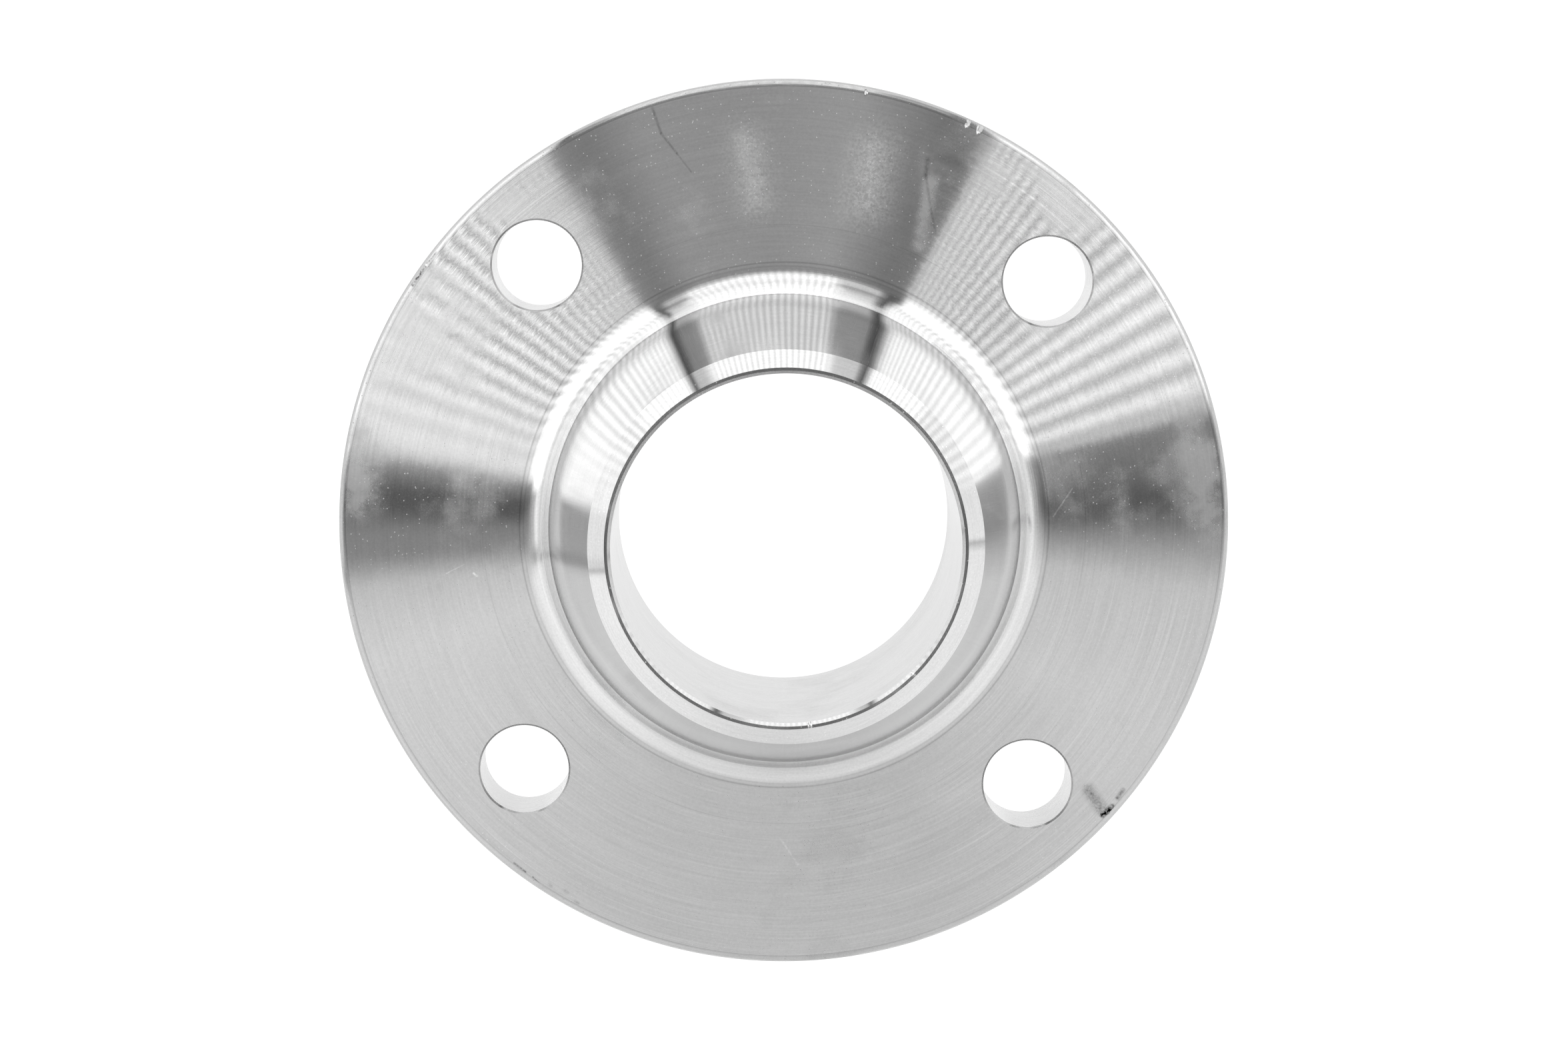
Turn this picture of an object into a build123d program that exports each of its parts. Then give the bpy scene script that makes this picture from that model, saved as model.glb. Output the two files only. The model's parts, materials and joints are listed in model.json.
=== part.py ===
from build123d import *
from math import radians, tan
import os

# Weld neck flange, DN 65, turned and drilled from one stainless steel forging.
# The origin is the centre of the gasket face, and +Z runs along the bore to the weld end.

# Flange disc
disc_diameter = 180.0
disc_thickness = 17.0
nut_side_rim_radius = 1.3
gasket_side_rim_chamfer = 1.0

# Raised gasket face, turned at a higher finish than the disc around it
raised_face_diameter = 122.0
raised_face_height = 3.0
raised_face_root_radius = 1.0
raised_face_edge_chamfer = 0.4

# Hub, which tapers from the disc to the outside diameter of the pipe
overall_height = 56.0
hub_base_diameter = 97.5
hub_fillet_radius = 6.0
weld_end_diameter = 77.0

# Weld preparation: a bevel around a narrow flat root face
root_face_width = 1.2
bevel_angle = 37.5

# Bore, at the inside diameter of the pipe
bore_diameter = 68.0
bore_edge_chamfer = 0.3
weld_end_bore_chamfer = 0.6

# Bolt holes, evenly spaced and straddling the X and Y axes
bolt_count = 4
bolt_circle_diameter = 145.0
bolt_hole_diameter = 18.0
bolt_hole_chamfer = 0.35
first_bolt_angle = 45.0

# Radii and heights that follow from the sizes above
disc_radius = disc_diameter / 2
raised_face_radius = raised_face_diameter / 2
hub_base_radius = hub_base_diameter / 2
weld_end_radius = weld_end_diameter / 2
bore_radius = bore_diameter / 2
bolt_hole_radius = bolt_hole_diameter / 2
root_face_radius = bore_radius + root_face_width
nut_face_height = raised_face_height + disc_thickness
bevel_height = (weld_end_radius - root_face_radius) * tan(radians(bevel_angle))
bevel_foot_height = overall_height - bevel_height


def turned_edges(edges, radius, height):
    """The circular edges of one radius that lie at one height."""
    circles = edges.filter_by(GeomType.CIRCLE)
    same_radius = circles.filter_by(lambda edge: abs(edge.radius - radius) < 0.001)
    return same_radius.filter_by_position(Axis.Z, height - 0.001, height + 0.001)


os.makedirs("parts", exist_ok=True)

with BuildPart() as flange:
    # Half section from the bore out to the rim, turned about the bore's axis
    with BuildSketch(Plane.XZ) as half_section:
        with BuildLine():
            Polyline(
                (bore_radius, 0),
                (raised_face_radius, 0),
                (raised_face_radius, raised_face_height),
                (disc_radius, raised_face_height),
                (disc_radius, nut_face_height),
                (hub_base_radius, nut_face_height),
                (weld_end_radius, bevel_foot_height),
                (root_face_radius, overall_height),
                (bore_radius, overall_height),
                close=True,
            )
        make_face()
    revolve(axis=Axis.Z)

    # The hub blends into the nut face, and the raised face into the disc
    fillet(turned_edges(flange.edges(), hub_base_radius, nut_face_height), hub_fillet_radius)
    raised_face_root = turned_edges(flange.edges(), raised_face_radius, raised_face_height)
    fillet(raised_face_root, raised_face_root_radius)

    # Broken edges left by the lathe
    fillet(turned_edges(flange.edges(), disc_radius, nut_face_height), nut_side_rim_radius)
    gasket_side_rim = turned_edges(flange.edges(), disc_radius, raised_face_height)
    chamfer(gasket_side_rim, gasket_side_rim_chamfer)
    chamfer(turned_edges(flange.edges(), raised_face_radius, 0), raised_face_edge_chamfer)
    chamfer(turned_edges(flange.edges(), bore_radius, 0), bore_edge_chamfer)
    chamfer(turned_edges(flange.edges(), bore_radius, overall_height), weld_end_bore_chamfer)

    # Bolt holes, drilled from the nut face
    with Locations(Plane.XY.offset(nut_face_height)):
        with PolarLocations(bolt_circle_diameter / 2, bolt_count, first_bolt_angle):
            Hole(radius=bolt_hole_radius)
    for face_height in (raised_face_height, nut_face_height):
        hole_rims = turned_edges(flange.edges(), bolt_hole_radius, face_height)
        chamfer(hole_rims, bolt_hole_chamfer)

flange.part.label = "flange"
export_step(flange.part, "parts/flange.step")
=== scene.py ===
import bmesh
import bpy
import json
from bisect import insort
from math import atan2, cos, degrees, pi, radians, sin, tan
from mathutils import Matrix, Vector


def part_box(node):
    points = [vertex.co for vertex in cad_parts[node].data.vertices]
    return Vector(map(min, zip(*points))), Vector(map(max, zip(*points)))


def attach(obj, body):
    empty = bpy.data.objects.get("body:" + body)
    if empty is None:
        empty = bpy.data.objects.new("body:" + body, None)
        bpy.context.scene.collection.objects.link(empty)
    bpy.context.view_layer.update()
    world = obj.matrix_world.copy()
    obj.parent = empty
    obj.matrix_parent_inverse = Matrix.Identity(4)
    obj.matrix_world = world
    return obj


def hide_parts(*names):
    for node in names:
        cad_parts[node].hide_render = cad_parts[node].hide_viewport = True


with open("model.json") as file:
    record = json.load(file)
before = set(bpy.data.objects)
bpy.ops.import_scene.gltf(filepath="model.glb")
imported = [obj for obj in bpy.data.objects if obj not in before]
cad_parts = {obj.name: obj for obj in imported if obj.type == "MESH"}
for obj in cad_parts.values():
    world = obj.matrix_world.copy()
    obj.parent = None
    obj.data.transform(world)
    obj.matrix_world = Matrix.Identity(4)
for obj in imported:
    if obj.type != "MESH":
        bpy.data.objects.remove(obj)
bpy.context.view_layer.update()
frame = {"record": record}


# Studio table: a back-lit white sheet that the flange stands on, gasket face down. It lights
# the bore and the bolt holes from below, as a product table does.
mm = 0.001
table_half_width = 3.0
table_gap = 0.02 * mm
table_grey = 0.05
table_glow = 1.06

sheet = bpy.data.meshes.new("table")
corners = [(x * table_half_width, y * table_half_width, 0) for x, y in ((-1, -1), (1, -1), (1, 1), (-1, 1))]
sheet.from_pydata(corners, [], [(0, 1, 2, 3)])
table = bpy.data.objects.new("table", sheet)
bpy.context.collection.objects.link(table)
table.location.z = -table_gap

opal = bpy.data.materials.new("opal_sheet")
opal.use_nodes = True
opal_nodes = opal.node_tree.nodes
opal_shader = opal_nodes["Principled BSDF"]
opal_shader.inputs["Base Color"].default_value = (table_grey, table_grey, table_grey, 1)
opal_shader.inputs["Roughness"].default_value = 0.9
opal_shader.inputs["Emission Color"].default_value = (1, 1, 1, 1)
opal_shader.inputs["Emission Strength"].default_value = table_glow
sheet.materials.append(opal)


# Light tent around the table: bright cloth with rows of small lamps, dark where it opens in
# front for the camera. It is centred on the direction that the flange's face mirrors.
world = bpy.data.worlds.new("light_tent")
world.use_nodes = True
bpy.context.scene.world = world
tent_tree = world.node_tree
tent_tree.nodes.clear()


def wire(tree, source, target):
    """Links an output to an input, or sets the input to a constant."""
    if isinstance(source, bpy.types.NodeSocket):
        tree.links.new(source, target)
    else:
        target.default_value = source


def maths(tree, operation, *values):
    """A math node's result for these values, each a number or another node's output."""
    node = tree.nodes.new("ShaderNodeMath")
    node.operation = operation
    for value, socket in zip(values, node.inputs):
        wire(tree, value, socket)
    return node.outputs[0]


def vectors(tree, operation, *values):
    """A vector math node's result for these vectors."""
    node = tree.nodes.new("ShaderNodeVectorMath")
    node.operation = operation
    for value, socket in zip(values, node.inputs):
        wire(tree, value, socket)
    return node.outputs["Value" if operation in ("LENGTH", "DOT_PRODUCT") else "Vector"]


def ramp(tree, factor, stops):
    """A grey level that follows the stops, each a place from 0 to 1 and a level."""
    node = tree.nodes.new("ShaderNodeValToRGB")
    elements = node.color_ramp.elements
    while len(elements) > 1:
        elements.remove(elements[0])
    for number, (place, grey) in enumerate(stops):
        element = elements[0] if number == 0 else elements.new(place)
        element.position = place
        element.color = (grey, grey, grey, 1)
    wire(tree, factor, node.inputs["Fac"])
    return node.outputs["Color"]


def even_rise(tree, value, low, high, start=0.0, end=1.0):
    """Goes evenly from start to end while the value goes from low to high."""
    node = tree.nodes.new("ShaderNodeMapRange")
    wire(tree, value, node.inputs["Value"])
    node.inputs["From Min"].default_value = low
    node.inputs["From Max"].default_value = high
    node.inputs["To Min"].default_value = start
    node.inputs["To Max"].default_value = end
    return node.outputs["Result"]


def smooth_step(tree, value, low, high):
    """0 at low, 1 at high and a smooth rise between, whichever of the two is the larger."""
    result = even_rise(tree, value, low, high)
    result.node.interpolation_type = "SMOOTHSTEP"
    return result


def blend(tree, factor, first, second):
    """The first value where the factor is 0, and the second where it is 1."""
    node = tree.nodes.new("ShaderNodeMix")
    node.data_type = "FLOAT"
    wire(tree, factor, node.inputs[0])
    wire(tree, first, node.inputs[2])
    wire(tree, second, node.inputs[3])
    return node.outputs[0]


mirror_lean = radians(-6.93)
tent_turn = radians(1.9)

look = tent_tree.nodes.new("ShaderNodeTexCoord").outputs["Generated"]
lean = tent_tree.nodes.new("ShaderNodeVectorRotate")
lean.rotation_type = "X_AXIS"
lean.inputs["Angle"].default_value = mirror_lean
wire(tent_tree, look, lean.inputs["Vector"])
parts = tent_tree.nodes.new("ShaderNodeSeparateXYZ")
wire(tent_tree, lean.outputs[0], parts.inputs[0])
bearing = maths(tent_tree, "ARCTAN2", parts.outputs["Y"], parts.outputs["X"])
bearing = maths(tent_tree, "SUBTRACT", bearing, tent_turn)
turn = maths(tent_tree, "FRACT", maths(tent_tree, "DIVIDE", bearing, 2 * pi))
from_middle = maths(tent_tree, "DEGREES", maths(tent_tree, "ARCCOSINE", parts.outputs["Z"]))

# Brightness of the tent's rings. Each has its distance from the middle in degrees, then levels at
# degrees anticlockwise from the right. The narrow dark places are seams in the cloth.
tent_rings = [
    (25, [
        (0, 0.18), (3, 0.13), (7, 0.22), (12.8, 0.30), (14.5, 0.97), (30, 1.06), (40, 0.87),
        (59.0, 0.84), (60.6, 0.26), (66, 0.26), (78, 0.48), (90, 0.42), (108, 0.44), (116, 0.28),
        (120.5, 0.34), (122.3, 0.85), (136, 0.97), (169.4, 1.14), (171.4, 0.42), (175.5, 0.13),
        (179, 0.14), (182, 0.34), (186, 0.34), (190, 0.80), (200, 0.96), (225, 0.86), (255, 0.74),
        (295, 0.71), (330, 0.88), (350, 0.80),
    ]),
    (45, [
        (0, 0.30), (3, 0.20), (9, 0.30), (12.5, 0.40), (14.5, 1.50), (30, 1.70), (59, 1.60),
        (60.5, 0.20), (75, 0.30), (90, 0.33), (110, 0.30), (121, 0.25), (122.5, 1.60), (150, 1.75),
        (171, 1.75), (173, 0.40), (177, 0.20), (183, 0.35), (189, 0.60), (195, 1.20), (225, 1.34),
        (250, 1.12), (270, 1.07), (290, 1.12), (315, 1.30), (345, 1.20), (355, 0.65),
    ]),
    (52, [
        (0, 0.55), (12, 0.62), (13.5, 2.40), (58.5, 2.40), (60.5, 0.12), (64.3, 0.12), (65.5, 1.00),
        (75, 1.15), (77, 1.75), (112, 1.75), (114, 1.00), (119, 0.80), (119.8, 0.12), (121.3, 0.12),
        (123, 2.40), (173.5, 2.40), (175.5, 0.75), (188, 0.75), (189.5, 0.50), (191, 0.50),
        (193, 1.25), (225, 1.32), (250, 1.07), (270, 0.99), (290, 0.99), (315, 1.12), (345, 1.20),
        (352, 0.95), (358, 0.60),
    ]),
    (63, [
        (0, 1.30), (12.5, 1.20), (14, 2.10), (58.5, 2.10), (62.3, 0.12), (64.3, 0.12), (65.5, 0.45),
        (75, 0.50), (77, 1.40), (112, 1.40), (114, 0.45), (119, 0.40), (119.8, 0.12), (121.3, 0.12),
        (123, 2.10), (173, 2.10), (175, 1.45), (188, 1.45), (189.5, 0.80), (191, 0.80), (193, 1.40),
        (225, 1.35), (250, 1.08), (270, 0.97), (290, 1.05), (315, 1.32), (345, 1.38), (355, 1.30),
    ]),
    (80, [
        (0, 1.03), (20, 0.94), (40, 0.94), (42, 1.28), (61, 1.30), (62.5, 0.11), (64.3, 0.11),
        (65.3, 0.82), (73, 0.86), (75, 1.35), (114.5, 1.35), (116, 0.78), (119.5, 0.78), (120.3, 0.11),
        (121.8, 0.11), (123, 1.35), (141, 1.30), (143, 0.96), (172, 0.97), (176, 0.92), (192.5, 0.92),
        (192.8, 0.03), (193.7, 0.03), (194.1, 1.08), (232, 1.05), (270, 0.88), (308, 1.05),
        (354.3, 1.03), (354.6, 0.03), (355.6, 0.03), (356, 1.03),
    ]),
    (94, [
        (0, 0.95), (14, 1.60), (61, 1.60), (62.5, 0.11), (64.3, 0.11), (65.3, 1.00), (75, 1.30),
        (77, 1.70), (112, 1.70), (114, 1.20), (119.5, 0.90), (120.3, 0.11), (121.8, 0.11),
        (123, 1.60), (172, 1.60), (190, 1.15), (225, 1.20), (270, 0.78), (315, 1.12), (345, 1.25),
    ]),
]


# The ramps hold the levels as shares of this one
full_level = 2.0


def ring_level(stops):
    """The brightness of one ring of the tent, all the way round and back to its first level."""
    shares = [(angle / 360, bright / full_level) for angle, bright in stops]
    return ramp(tent_tree, turn, shares + [(1.0, shares[0][1])])


level = ring_level(tent_rings[0][1])
for (near, _), (far, stops) in zip(tent_rings, tent_rings[1:]):
    outward = even_rise(tent_tree, from_middle, near, far)
    level = blend(tent_tree, outward, level, ring_level(stops))
level = maths(tent_tree, "MULTIPLY", level, full_level)

# Straight rows of lamps on both side walls, and one on the back wall that only the hub mirrors.
# A row has its strength at degrees round the tent. Contrast and start change over the degrees
# from the middle that their pairs give.
side_spacing = 0.077
back_spacing = 0.0337
lamp_contrast = 0.58
lamp_contrast_out = 0.22
contrast_falls = (32, 42)
back_row_starts = (36, 44)
side_rows = [
    (13, 0), (16, 0.6), (35, 0.7), (45, 1), (59, 1), (61, 0),
    (121, 0), (123, 1), (148, 1), (160, 0.3), (170, 0),
]
back_row = [(75, 0), (77, 1), (112, 1), (114, 0)]


def lamp_row(position, spacing, reach):
    """Bright lamps and darker gaps, at even steps along a straight row."""
    wave = maths(tent_tree, "COSINE", maths(tent_tree, "MULTIPLY", position, 2 * pi / spacing))
    strength = ramp(tent_tree, turn, [(angle / 360, here) for angle, here in reach])
    return maths(tent_tree, "MULTIPLY", wave, strength)


along_side = maths(tent_tree, "TANGENT", bearing)
along_back = maths(tent_tree, "DIVIDE", 1.0, along_side)
lamps = maths(
    tent_tree,
    "MULTIPLY_ADD",
    lamp_row(along_back, back_spacing, back_row),
    smooth_step(tent_tree, from_middle, *back_row_starts),
    lamp_row(along_side, side_spacing, side_rows),
)
fallen = smooth_step(tent_tree, from_middle, *contrast_falls)
contrast = blend(tent_tree, fallen, lamp_contrast, lamp_contrast_out)
level = maths(tent_tree, "MULTIPLY", level, maths(tent_tree, "MULTIPLY_ADD", lamps, contrast, 1.0))

# The gap in the cloth that the camera looks through, whose edge is this many degrees out
camera_gap = (7, 10)
camera_gap_level = 0.20
level = blend(tent_tree, smooth_step(tent_tree, from_middle, *camera_gap), camera_gap_level, level)

# The cloth behind the table, where the camera sees past its edge
backdrop_level = 1.1
seen = tent_tree.nodes.new("ShaderNodeLightPath").outputs["Is Camera Ray"]
tent_light = tent_tree.nodes.new("ShaderNodeBackground")
wire(tent_tree, blend(tent_tree, seen, level, backdrop_level), tent_light.inputs["Color"])
tent_output = tent_tree.nodes.new("ShaderNodeOutputWorld")
wire(tent_tree, tent_light.outputs[0], tent_output.inputs["Surface"])


# Camera: a short telephoto above the flange, a little past upright, so that the hub leans
# towards the bottom of the picture.
camera_lens = 87.5
camera_distance = 770.2 * mm
camera_back = Vector((-0.0149, 0.1198, 0.9927)).normalized()
camera_target = Vector((-0.09 * mm, 0.90 * mm, 20.0 * mm))
picture_turn = radians(1.85)
picture_top = Vector((-sin(picture_turn), cos(picture_turn), 0))

lens = bpy.data.cameras.new("camera")
lens.lens = camera_lens
lens.sensor_width = 36.0
camera = bpy.data.objects.new("camera", lens)
bpy.context.collection.objects.link(camera)
camera_up = (picture_top - camera_back * picture_top.dot(camera_back)).normalized()
camera_right = camera_up.cross(camera_back)
axes = Matrix((camera_right, camera_up, camera_back)).transposed()
camera.matrix_world = Matrix.Translation(camera_target + camera_back * camera_distance) @ axes.to_4x4()
bpy.context.scene.camera = camera
bpy.context.scene.view_settings.view_transform = "Standard"


# The flange: one forging of stainless steel, turned all over in a lathe and then drilled. Disc,
# hub, weld bevel, raised gasket face, bore and bolt holes are all cut in the same piece.
_, cad_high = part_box("flange")
height = cad_high[2]
disc_radius = cad_high[0]

mounts = {mount["name"]: mount for mount in frame["record"]["mounts"]}
bore_radius = mounts["bore"]["dims"]["r_mm"] * mm
bolt_circle_radius = mounts["bolts"]["dims"]["pcd_mm"] * mm / 2
bolt_hole_radius = mounts["bolts"]["dims"]["hole_r_mm"] * mm
bolt_count = mounts["bolts"]["dims"]["count"]
nut_face = mounts["nut_face"]["pos_m"][2]

# Sizes of the forging and of the cuts in it
raised_face_radius = 61.0 * mm
raised_face_height = 3.0 * mm
raised_face_root = 1.0 * mm
raised_face_chamfer = 0.4 * mm
hub_base_radius = 48.75 * mm
hub_fillet = 6.0 * mm
weld_end_radius = 38.5 * mm
root_face_radius = bore_radius + 1.2 * mm
bevel_angle = radians(37.5)
bevel_foot = height - (weld_end_radius - root_face_radius) * tan(bevel_angle)
rim_round = 1.3 * mm
rim_chamfer = 1.0 * mm
lip_chamfer = 0.6 * mm
foot_chamfer = 0.3 * mm
hole_chamfer = 0.35 * mm
serration_pitch = 0.8 * mm
serration_depth = 0.05 * mm
first_hole = 45


def straight(start, end, count, region):
    """Section points from start to end, each a radius, a height and a region, without the start."""
    steps = [(number + 1) / count for number in range(count)]
    return [(start[0] + (end[0] - start[0]) * t, start[1] + (end[1] - start[1]) * t, region) for t in steps]


def round_off(centre, radius, start_angle, end_angle, count, region):
    """Section points on an arc between two angles in degrees, without the start."""
    found = []
    for number in range(count):
        angle = radians(start_angle + (end_angle - start_angle) * (number + 1) / count)
        found.append((centre[0] + radius * cos(angle), centre[1] + radius * sin(angle), region))
    return found


# The fillet is tangent to the nut face and to the hub's taper
taper = atan2(hub_base_radius - weld_end_radius, bevel_foot - nut_face)
fillet_reach = hub_fillet * tan((pi / 2 - taper) / 2)
fillet_foot = hub_base_radius + fillet_reach
fillet_centre = (fillet_foot, nut_face + hub_fillet)
fillet_top = (
    fillet_centre[0] - hub_fillet * cos(taper),
    fillet_centre[1] - hub_fillet * sin(taper),
)

# The flat rings that are drilled, and the ring of serrations, stop short of the edges beside them
plain_from = fillet_foot + 0.8 * mm
plain_to = disc_radius - rim_round - 2.2 * mm
under_from = raised_face_radius + raised_face_root + 0.4 * mm
under_to = disc_radius - rim_chamfer - 0.6 * mm
serrated_to = raised_face_radius - raised_face_chamfer - 0.5 * mm
serrated_from = bore_radius + foot_chamfer + 0.7 * mm

# The section runs up the bore, over the hub and disc to the rim, and back under to the bore. A
# gap is left in the nut face and in the face beneath it, where the drilled holes come through.
upper = [(bore_radius, foot_chamfer, "bore")]
upper += straight(upper[-1], (bore_radius, height - lip_chamfer), 14, "bore")
upper += straight(upper[-1], (bore_radius + lip_chamfer, height), 2, "lip")
upper += straight(upper[-1], (root_face_radius, height), 2, "root_face")
upper += straight(upper[-1], (weld_end_radius, bevel_foot), 6, "bevel")
upper += straight(upper[-1], fillet_top, 12, "hub")
upper += round_off(fillet_centre, hub_fillet, 180 + degrees(taper), 270, 24, "fillet")
upper += straight(upper[-1], (plain_from, nut_face), 2, "nut_face")

outer = [(plain_to, nut_face, "nut_face")]
outer += straight(outer[-1], (disc_radius - rim_round, nut_face), 10, "nut_face")
outer += round_off((disc_radius - rim_round, nut_face - rim_round), rim_round, 90, 0, 8, "rim_edge")
outer += straight(outer[-1], (disc_radius, raised_face_height + rim_chamfer), 6, "rim")
outer += straight(outer[-1], (disc_radius - rim_chamfer, raised_face_height), 2, "rim_edge")
outer += straight(outer[-1], (under_to, raised_face_height), 1, "under_face")

lower = [(under_from, raised_face_height, "under_face")]
lower += straight(lower[-1], (raised_face_radius + raised_face_root, raised_face_height), 1, "under_face")
root_centre = (raised_face_radius + raised_face_root, raised_face_height - raised_face_root)
lower += round_off(root_centre, raised_face_root, 90, 180, 6, "under_face")
lower += straight(lower[-1], (raised_face_radius, raised_face_chamfer), 2, "gasket_edge")
lower += straight(lower[-1], (raised_face_radius - raised_face_chamfer, 0), 2, "gasket_edge")
lower += straight(lower[-1], (serrated_to, 0), 1, "gasket_face")
groove_count = round((serrated_to - serrated_from) / serration_pitch)
groove_width = (serrated_to - serrated_from) / groove_count
for groove in range(groove_count):
    start = serrated_to - groove * groove_width
    lower += [(start - groove_width / 2, serration_depth, "gasket_face")]
    lower += [(start - groove_width, 0, "gasket_face")]
lower += straight(lower[-1], (bore_radius + foot_chamfer, 0), 1, "gasket_face")

# Knocks that the rim and the mouth of the bore took in handling: the angle anticlockwise from
# +X in degrees, radius and height of the middle, length along the edge, reach, and how far the
# metal is pushed in towards the axis and down
knocks = [
    (65.8, disc_radius - 0.7 * mm, nut_face, 0.45 * mm, 1.2 * mm, 0.12 * mm, 0.30 * mm),
    (67.5, disc_radius - 0.9 * mm, nut_face, 0.30 * mm, 0.9 * mm, 0.08 * mm, 0.22 * mm),
    (81.2, disc_radius - 1.2 * mm, nut_face, 0.30 * mm, 0.6 * mm, 0.03 * mm, 0.12 * mm),
    (-39.9, disc_radius - 1.8 * mm, nut_face, 0.50 * mm, 0.7 * mm, 0.03 * mm, 0.15 * mm),
    (-80.6, bore_radius + 0.6 * mm, height, 0.45 * mm, 0.6 * mm, -0.12 * mm, 0.12 * mm),
    (-43.0, bore_radius + 0.6 * mm, height, 0.35 * mm, 0.5 * mm, -0.08 * mm, 0.10 * mm),
]


def knocked(angle, radius, z):
    """Where a point of the turned surface ends up after the knocks near it."""
    for place, middle_radius, middle_z, length, reach, inward, down in knocks:
        along = ((angle - radians(place) + pi) % (2 * pi) - pi) * middle_radius
        share = 1 - (along / length) ** 2 - ((radius - middle_radius) ** 2 + (z - middle_z) ** 2) / reach**2
        if share > 0:
            radius -= inward * share
            z -= down * share
    return radius, z


# Angles of the section's copies round the axis, closer together at each knock
turn_count = 360
knock_step = 0.12
knock_margin = 0.3
angles = [radians(360 * number / turn_count) for number in range(turn_count)]
for knock in knocks:
    half_width = degrees(knock[3] / knock[1]) + knock_margin
    for number in range(int(2 * half_width / knock_step) + 1):
        extra = radians((knock[0] - half_width + number * knock_step) % 360)
        if min(abs(extra - angle) for angle in angles) > radians(knock_step / 3):
            insort(angles, extra)

regions = [
    "bore", "lip", "root_face", "bevel", "hub", "fillet", "nut_face", "rim_edge", "rim",
    "under_face", "gasket_edge", "gasket_face", "hole", "hole_edge",
]
metal = bmesh.new()


def skin(near, far, region):
    """A band of faces between two rings with as many points, facing out of the metal."""
    count = len(near)
    for number in range(count):
        after = (number + 1) % count
        face = metal.faces.new((near[number], near[after], far[after], far[number]))
        face.material_index = regions.index(region)
        face.smooth = True


def turn_section(section):
    """Copies a stretch of the section round the axis and skins it. Returns its rings."""
    rings = []
    for radius, z, region in section:
        ring = []
        for angle in angles:
            new_radius, new_z = knocked(angle, radius, z)
            ring.append(metal.verts.new((new_radius * cos(angle), new_radius * sin(angle), new_z)))
        rings.append(ring)
    for number in range(len(rings) - 1):
        skin(rings[number], rings[number + 1], section[number + 1][2])
    return rings


upper_rings = turn_section(upper)
outer_rings = turn_section(outer)
lower_rings = turn_section(lower)
skin(lower_rings[-1], upper_rings[0], "gasket_edge")

# Bolt holes: a broken edge at each face and a drilled wall between them
hole_points = 96
hole_walls = 8
hole_places = []
for number in range(bolt_count):
    place = radians(first_hole + 360 * number / bolt_count)
    hole_places.append((bolt_circle_radius * cos(place), bolt_circle_radius * sin(place)))

hole_section = [(bolt_hole_radius + hole_chamfer, nut_face)]
wall_top = nut_face - hole_chamfer
wall_foot = raised_face_height + hole_chamfer
for number in range(hole_walls + 1):
    hole_section.append((bolt_hole_radius, wall_top + (wall_foot - wall_top) * number / hole_walls))
hole_section.append((bolt_hole_radius + hole_chamfer, raised_face_height))

top_loops, under_loops = [], []
for x, y in hole_places:
    hole_rings = []
    for radius, z in hole_section:
        ring = []
        for point in range(hole_points):
            angle = 2 * pi * point / hole_points
            ring.append(metal.verts.new((x + radius * cos(angle), y + radius * sin(angle), z)))
        hole_rings.append(ring)
    for number in range(len(hole_rings) - 1):
        at_edge = number in (0, len(hole_rings) - 2)
        skin(hole_rings[number + 1], hole_rings[number], "hole_edge" if at_edge else "hole")
    top_loops.append(hole_rings[0])
    under_loops.append(hole_rings[-1])


def loop_edges(ring):
    """The edges round a ring, made where they are missing."""
    found = []
    for number, point in enumerate(ring):
        after = ring[(number + 1) % len(ring)]
        found.append(metal.edges.get((point, after)) or metal.edges.new((point, after)))
    return found


def drilled_face(rings, region, outward):
    """Fills a flat ring between two turned rings, round the bolt holes."""
    edges = [edge for ring in rings for edge in loop_edges(ring)]
    filled = bmesh.ops.triangle_fill(metal, use_beauty=True, use_dissolve=False, edges=edges)
    faces = [item for item in filled["geom"] if isinstance(item, bmesh.types.BMFace)]
    for face in faces:
        face.normal_update()
        if face.normal.z * outward < 0:
            face.normal_flip()
        face.material_index = regions.index(region)
        face.smooth = True


drilled_face([upper_rings[-1], outer_rings[0], *top_loops], "nut_face", 1)
drilled_face([outer_rings[-1], lower_rings[0], *under_loops], "under_face", -1)

sharp_from = radians(28)
flange_mesh = bpy.data.meshes.new("flange_turned")
metal.normal_update()
metal.to_mesh(flange_mesh)
metal.free()
flange_mesh.set_sharp_from_angle(angle=sharp_from)
flange = bpy.data.objects.new("flange_turned", flange_mesh)
bpy.context.collection.objects.link(flange)
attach(flange, "root")
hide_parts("flange")


# How far apart the noises of different seeds are read
seed_spacing = 31.0


def steel(name):
    """A new metal, its node tree and shader, and a surface point's place and the way it faces."""
    material = bpy.data.materials.new(name)
    material.use_nodes = True
    tree = material.node_tree
    shader = tree.nodes["Principled BSDF"]
    shader.inputs["Metallic"].default_value = 1.0
    place = tree.nodes.new("ShaderNodeTexCoord").outputs["Object"]
    facing = tree.nodes.new("ShaderNodeNewGeometry").outputs["Normal"]
    return material, tree, shader, place, facing


def noise(tree, place, scale, detail=2.0, rough=0.5):
    """A noise value about 0.5 at a place."""
    node = tree.nodes.new("ShaderNodeTexNoise")
    wire(tree, place, node.inputs["Vector"])
    node.inputs["Scale"].default_value = scale
    node.inputs["Detail"].default_value = detail
    node.inputs["Roughness"].default_value = rough
    return node.outputs["Fac"]


def scaled(tree, vector, factor):
    """A vector times a number."""
    node = tree.nodes.new("ShaderNodeVectorMath")
    node.operation = "SCALE"
    wire(tree, vector, node.inputs[0])
    wire(tree, factor, node.inputs["Scale"])
    return node.outputs["Vector"]


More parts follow.
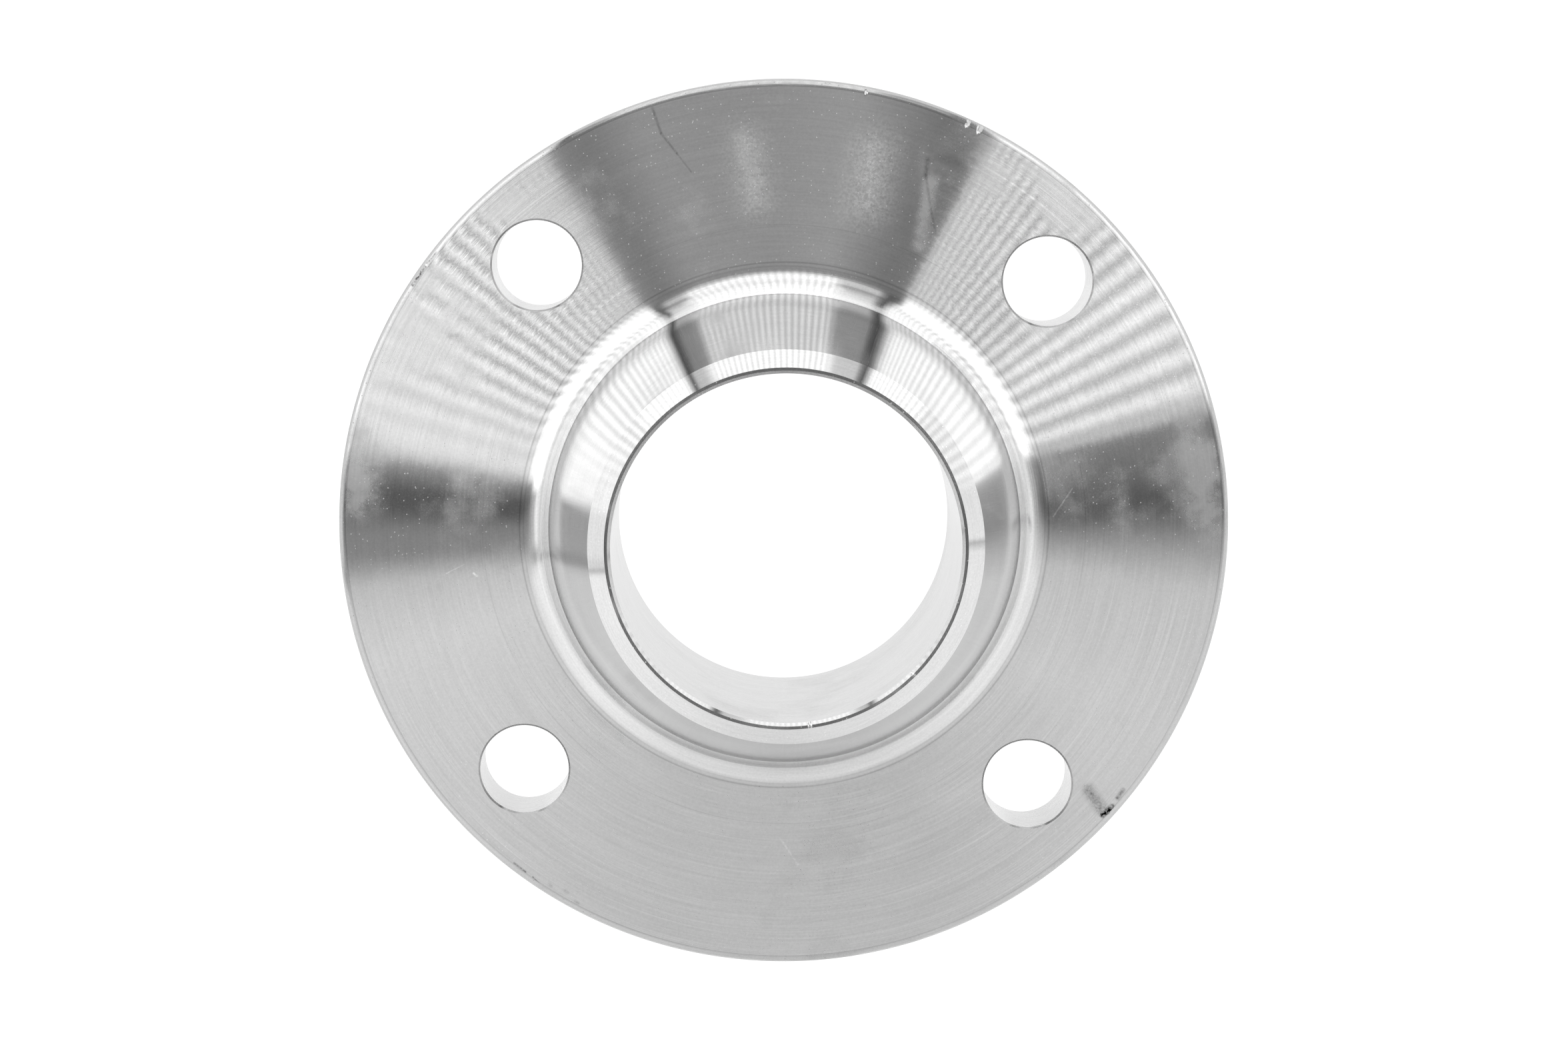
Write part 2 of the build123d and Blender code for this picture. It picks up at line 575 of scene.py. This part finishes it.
def ring_noise(tree, heading, feed, pitch, wander, seed):
    """Noise that follows the cutter: quick across the grooves and slow along them, about 0."""
    lift = tree.nodes.new("ShaderNodeCombineXYZ")
    wire(tree, maths(tree, "MULTIPLY_ADD", feed, 1 / pitch, seed_spacing * seed), lift.inputs["Z"])
    both = vectors(tree, "ADD", scaled(tree, heading, wander), lift.outputs[0])
    return maths(tree, "SUBTRACT", noise(tree, both, 1.0, 0.0), 0.5)


def height_of(tree, vector):
    """A vector's Z."""
    node = tree.nodes.new("ShaderNodeSeparateXYZ")
    wire(tree, vector, node.inputs[0])
    return node.outputs["Z"]


def near_line(tree, place, start, end, half_width):
    """1 on the line from start to end, 0 beyond its half width. Sizes are in mm."""
    first = Vector(start) * mm
    along = (Vector(end) - Vector(start)) * mm
    offset = vectors(tree, "SUBTRACT", place, tuple(first))
    reached = vectors(tree, "DOT_PRODUCT", offset, tuple(along))
    share = maths(tree, "DIVIDE", reached, along.length_squared)
    share.node.use_clamp = True
    gap = vectors(tree, "LENGTH", vectors(tree, "SUBTRACT", offset, scaled(tree, tuple(along), share)))
    return smooth_step(tree, gap, half_width * mm, 0.0)


# How the cut lies. Grooves lean out where a face tilts less than flat_within from level. Where a
# fillet is eased into the steeper metal above it, between two tilts, its surface leans back.
flat_within = radians(25)
eased_from = radians(44)
eased_to = radians(73)
eased_lean = -0.42
groove_wander = 2.0
chatter_pitch = 0.8 * mm
chatter_wander = 25.0

# Rings of lighter and darker metal: pitch, wander and strength
shade_rings = [(0.42 * mm, 6.0, 0.12), (3.5 * mm, 3.0, 0.06)]
chatter_seed = 5
shade_seed = 7

# Sizes and strengths of the grain and of the dull spots. The painted lighter tone of a finish's steep part,
# which is painted light, comes in while the surface normal's height falls over steep_range.
grain_size = 0.45 * mm
grain_shade = 0.16
mottle_size = 0.35 * mm
mottle_dull = 0.22
speck_spacing = 0.8 * mm
speck_above = 0.70
speck_dull = 0.45
steep_range = (0.75, 0.35)
cloud_scale = 42.0
cloud_dull = 0.17
patch_size = 2.5 * mm


def turned_finish(
    name, tone, gloss, bias, grooves,
    chatter=0.0, painted_steep_tone=0.0, soiled=1.0, marks=(), lines=(), rubs=(),
):
    """Steel cut in a lathe, with fine grooves round the axis and the traces of handling.

    Tone is the metal's lightness, the steep tone a painted lighter tone for its steep part (painted light),
    gloss its roughness when clean, bias how far the grooves lean out and chatter how far they sway. Soiled
    is 1 as handled.
    """
    material, tree, shader, place, facing = steel(name)
    flat_place = vectors(tree, "MULTIPLY", place, (1, 1, 0))
    heading = vectors(tree, "NORMALIZE", flat_place)
    radius = vectors(tree, "LENGTH", flat_place)
    around = vectors(tree, "CROSS_PRODUCT", (0, 0, 1), heading)
    across = vectors(tree, "NORMALIZE", vectors(tree, "CROSS_PRODUCT", around, facing))
    feed = maths(tree, "SUBTRACT", radius, height_of(tree, place))
    upright = height_of(tree, facing)

    # Slope of the grooves across the cut and, where it chatters, along it
    slope = even_rise(tree, upright, cos(flat_within), 1.0, 0.0, bias)
    if painted_steep_tone:
        eased = even_rise(tree, upright, cos(eased_to), cos(eased_from), eased_lean, 0.0)
        slope = maths(tree, "ADD", slope, eased)
    for number, (pitch, depth) in enumerate(grooves):
        groove = ring_noise(tree, heading, feed, pitch, groove_wander, number)
        slope = maths(tree, "MULTIPLY_ADD", groove, depth, slope)
    tilted = vectors(tree, "ADD", facing, scaled(tree, across, slope))
    if chatter:
        sway = ring_noise(tree, heading, feed, chatter_pitch, chatter_wander, chatter_seed)
        sway = maths(tree, "MULTIPLY", sway, chatter)
        tilted = vectors(tree, "ADD", tilted, scaled(tree, around, sway))
    wire(tree, vectors(tree, "NORMALIZE", tilted), shader.inputs["Normal"])
    wire(tree, around, shader.inputs["Tangent"])
    shader.inputs["Anisotropic"].default_value = 1.0
    shader.inputs["Anisotropic Rotation"].default_value = 0.25

    # Shade: rings of the cut, grain, lines round the axis and marks
    shade = 1.0
    for number, (pitch, wander, strength) in enumerate(shade_rings):
        ring = ring_noise(tree, heading, feed, pitch, wander, shade_seed + number)
        shade = maths(tree, "MULTIPLY_ADD", ring, strength, shade)
    grain = maths(tree, "SUBTRACT", noise(tree, place, 1 / grain_size, 1.0), 0.5)
    shade = maths(tree, "MULTIPLY_ADD", grain, grain_shade, shade)
    for line_radius, half_width, change in lines:
        off = maths(tree, "ABSOLUTE", maths(tree, "SUBTRACT", radius, line_radius * mm))
        here = smooth_step(tree, off, half_width * mm, 0.0)
        shade = maths(tree, "MULTIPLY", shade, maths(tree, "MULTIPLY_ADD", here, change, 1.0))
    for start, end, half_width, change in marks:
        here = near_line(tree, place, start, end, half_width)
        ragged = maths(tree, "MULTIPLY", here, maths(tree, "ADD", maths(tree, "MULTIPLY", grain, 2.4), 0.9))
        shade = maths(tree, "MULTIPLY", shade, maths(tree, "MULTIPLY_ADD", ragged, change, 1.0))

    # Fingers and rags leave dull clouds and rubs, and specks of pale dust lie on top
    cloud = noise(tree, place, cloud_scale, 4.0, 0.62)
    cloud = maths(tree, "MULTIPLY", smooth_step(tree, cloud, 0.50, 0.72), soiled)
    cells = tree.nodes.new("ShaderNodeTexVoronoi")
    wire(tree, place, cells.inputs["Vector"])
    cells.inputs["Scale"].default_value = 1 / speck_spacing
    chosen = tree.nodes.new("ShaderNodeSeparateColor")
    wire(tree, cells.outputs["Color"], chosen.inputs[0])
    spot = smooth_step(tree, cells.outputs["Distance"], 0.20, 0.10)
    speck = maths(tree, "MULTIPLY", spot, maths(tree, "GREATER_THAN", chosen.outputs[0], speck_above))
    mottle = maths(tree, "SUBTRACT", noise(tree, place, 1 / mottle_size, 2.0, 0.7), 0.46)
    dull = maths(tree, "MULTIPLY_ADD", maths(tree, "MAXIMUM", mottle, 0.0), mottle_dull * soiled, gloss)
    dull = maths(tree, "MULTIPLY_ADD", cloud, cloud_dull, dull)
    dull = maths(tree, "MULTIPLY_ADD", speck, speck_dull * soiled, dull)
    for start, end, half_width, change in rubs:
        here = near_line(tree, place, start, end, half_width)
        patchy = maths(tree, "MULTIPLY", here, noise(tree, place, 1 / patch_size, 3.0, 0.6))
        dull = maths(tree, "MULTIPLY_ADD", patchy, change, dull)
    wire(tree, dull, shader.inputs["Roughness"])

    # A speck is as much paler as it is duller, and the steep part of the metal is painted a lighter tone,
    # as painted light
    shade = maths(tree, "MULTIPLY", shade, maths(tree, "MULTIPLY_ADD", speck, speck_dull * soiled, 1.0))
    body = tone
    if painted_steep_tone:
        body = blend(tree, smooth_step(tree, upright, *steep_range), tone, painted_steep_tone)
    shade = maths(tree, "MULTIPLY", shade, body)
    shade.node.use_clamp = True
    wire(tree, shade, shader.inputs["Base Color"])
    return material


# Scratches and small dents, from one end to the other in mm, with half a width and how much
# lighter or darker the metal is there
face_marks = [
    ((-29.0, 83.3, 20), (-27.1, 78.3, 20), 0.5, -0.30),
    ((-27.1, 78.3, 20), (-23.9, 74.5, 20), 0.4, -0.30),
    ((-23.9, 74.5, 20), (-20.9, 70.9, 20), 0.3, -0.25),
    ((14.5, 66.0, 20), (16.0, 76.0, 20), 9.0, 0.36),
    ((-8.0, 66.0, 20), (-10.0, 77.0, 20), 8.0, 0.20),
    ((26.2, 75.0, 20), (26.0, 71.6, 20), 0.9, -0.30),
    ((26.0, 71.6, 20), (27.4, 64.2, 20), 0.5, -0.25),
    ((27.4, 64.2, 20), (28.4, 60.3, 20), 0.4, -0.20),
    ((29.0, 75.5, 20), (33.5, 74.0, 20), 1.8, -0.16),
    ((54.3, 3.8, 20), (57.9, 9.6, 20), 0.25, 0.80),
    ((1.2, -64.0, 20), (5.0, -69.4, 20), 0.35, 0.12),
    ((-62.5, -11.4, 20), (-61.9, -11.9, 20), 0.35, 0.45),
    ((-68.0, -11.6, 20), (-64.4, -9.6, 20), 0.2, 0.25),
    ((63.8, -52.2, 20), (66.5, -55.8, 20), 2.3, -0.42),
    ((66.9, -57.2, 20), (68.8, -55.5, 20), 0.95, -1.10),
    ((69.8, -53.6, 20), (70.8, -52.0, 20), 0.8, -0.55),
    ((-52.9, -70.8, 20), (-50.5, -72.6, 20), 0.3, -0.55),
    ((-49.0, -73.6, 20), (-47.5, -75.1, 20), 0.25, -0.45),
    ((-45.6, -75.0, 20), (-45.2, -75.4, 20), 0.6, -0.18),
    ((-42.3, -76.3, 20), (-41.9, -76.6, 20), 0.7, -0.18),
    ((-40.2, -78.4, 20), (-39.6, -78.8, 20), 0.5, -0.22),
]

# Places rubbed dull, from one end to the other in mm, with half a width and how much duller
face_rubs = [
    ((-86, 15, 20), (-86, 2, 20), 8.0, 0.36),
    ((87, 2, 20), (84, 17, 20), 7.0, 0.38),
    ((68, 2, 20), (67, 12, 20), 4.0, 0.25),
    ((14.5, 66, 20), (16, 76, 20), 6.0, 0.30),
    ((-8, 66, 20), (-10, 77, 20), 6.0, 0.30),
    ((25, 58, 20), (27, 70, 20), 2.5, 0.35),
    ((63.8, -52.2, 20), (66.5, -55.8, 20), 2.5, 0.50),
]

# Marks beside the knocks in the rim, and a small one on the hub
rim_marks = [
    ((-76.0, 46.5, 19.8), (-73.6, 50.2, 19.8), 0.55, -0.80),
    ((-73.2, 50.9, 19.8), (-71.4, 53.2, 19.8), 0.35, -0.70),
]
hub_marks = [
    ((-28.9, -32.0, 38.0), (-27.2, -33.7, 36.5), 0.45, -0.45),
]

# Pitches of the grooves, each with its depth where it is used. Lines run round the axis and have
# a radius and half a width in mm, then how much darker they are.
fine = 0.12 * mm
medium = 0.6 * mm
wide = 5.0 * mm
finishes = {
    "nut_face": turned_finish(
        "turned_face", 0.64, 0.07, 0.17, [(fine, 0.14), (medium, 0.035), (wide, 0.02)],
        chatter=0.0025, marks=face_marks + rim_marks, rubs=face_rubs,
        lines=[(53.5, 0.30, -0.25), (61.0, 0.15, -0.10), (88.6, 0.15, -0.30)],
    ),
    # The fillet's steep part gets a painted lighter tone: painted light on the top of the fillet
    "fillet": turned_finish(
        "turned_fillet", 0.64, 0.09, 0.17, [(fine, 0.06), (medium, 0.01)],
        painted_steep_tone=0.92, soiled=0.2, lines=[(52.7, 0.30, -0.12)],
        marks=[((49.0, -1.9, 22.6), (49.8, -1.2, 22.0), 0.5, -0.5)],
    ),
    "hub": turned_finish(
        "turned_hub", 0.62, 0.07, 0.0, [(fine, 0.03), (medium, 0.01)], soiled=0.2, marks=hub_marks
    ),
    "bevel": turned_finish("turned_bevel", 0.72, 0.08, 0.0, [(fine, 0.03)], soiled=0.3),
    "root_face": turned_finish("turned_root_face", 0.52, 0.10, 0.0, [(fine, 0.05)]),
    "lip": turned_finish("broken_lip", 0.64, 0.12, 0.0, [(fine, 0.05)], soiled=0.3),
    "bore": turned_finish("turned_bore", 0.68, 0.16, 0.0, [(fine, 0.05)], soiled=0.4),
    "rim": turned_finish("turned_rim", 0.56, 0.14, 0.0, [(fine, 0.05), (medium, 0.03)]),
    # The rim edge's lower tone is painted shade on the rounded band round the rim
    "rim_edge": turned_finish("rim_edge", 0.50, 0.12, 0.17, [(fine, 0.05)], marks=rim_marks),
    "under_face": turned_finish("turned_under_face", 0.64, 0.12, 0.0, [(fine, 0.05), (medium, 0.05)]),
    "gasket_edge": turned_finish("gasket_edge", 0.64, 0.14, 0.0, [(fine, 0.05)]),
    "gasket_face": turned_finish("serrated_face", 0.64, 0.14, 0.0, [(fine, 0.05)]),
    "hole": turned_finish("drilled_hole", 0.78, 0.25, 0.0, [(fine, 0.05)], soiled=0.2),
    # The broken hole edge's low tone is painted shade: a dark line round each hole
    "hole_edge": turned_finish("broken_hole_edge", 0.40, 0.15, 0.0, [(fine, 0.05)], soiled=0.2),
}
for region in regions:
    flange_mesh.materials.append(finishes[region])
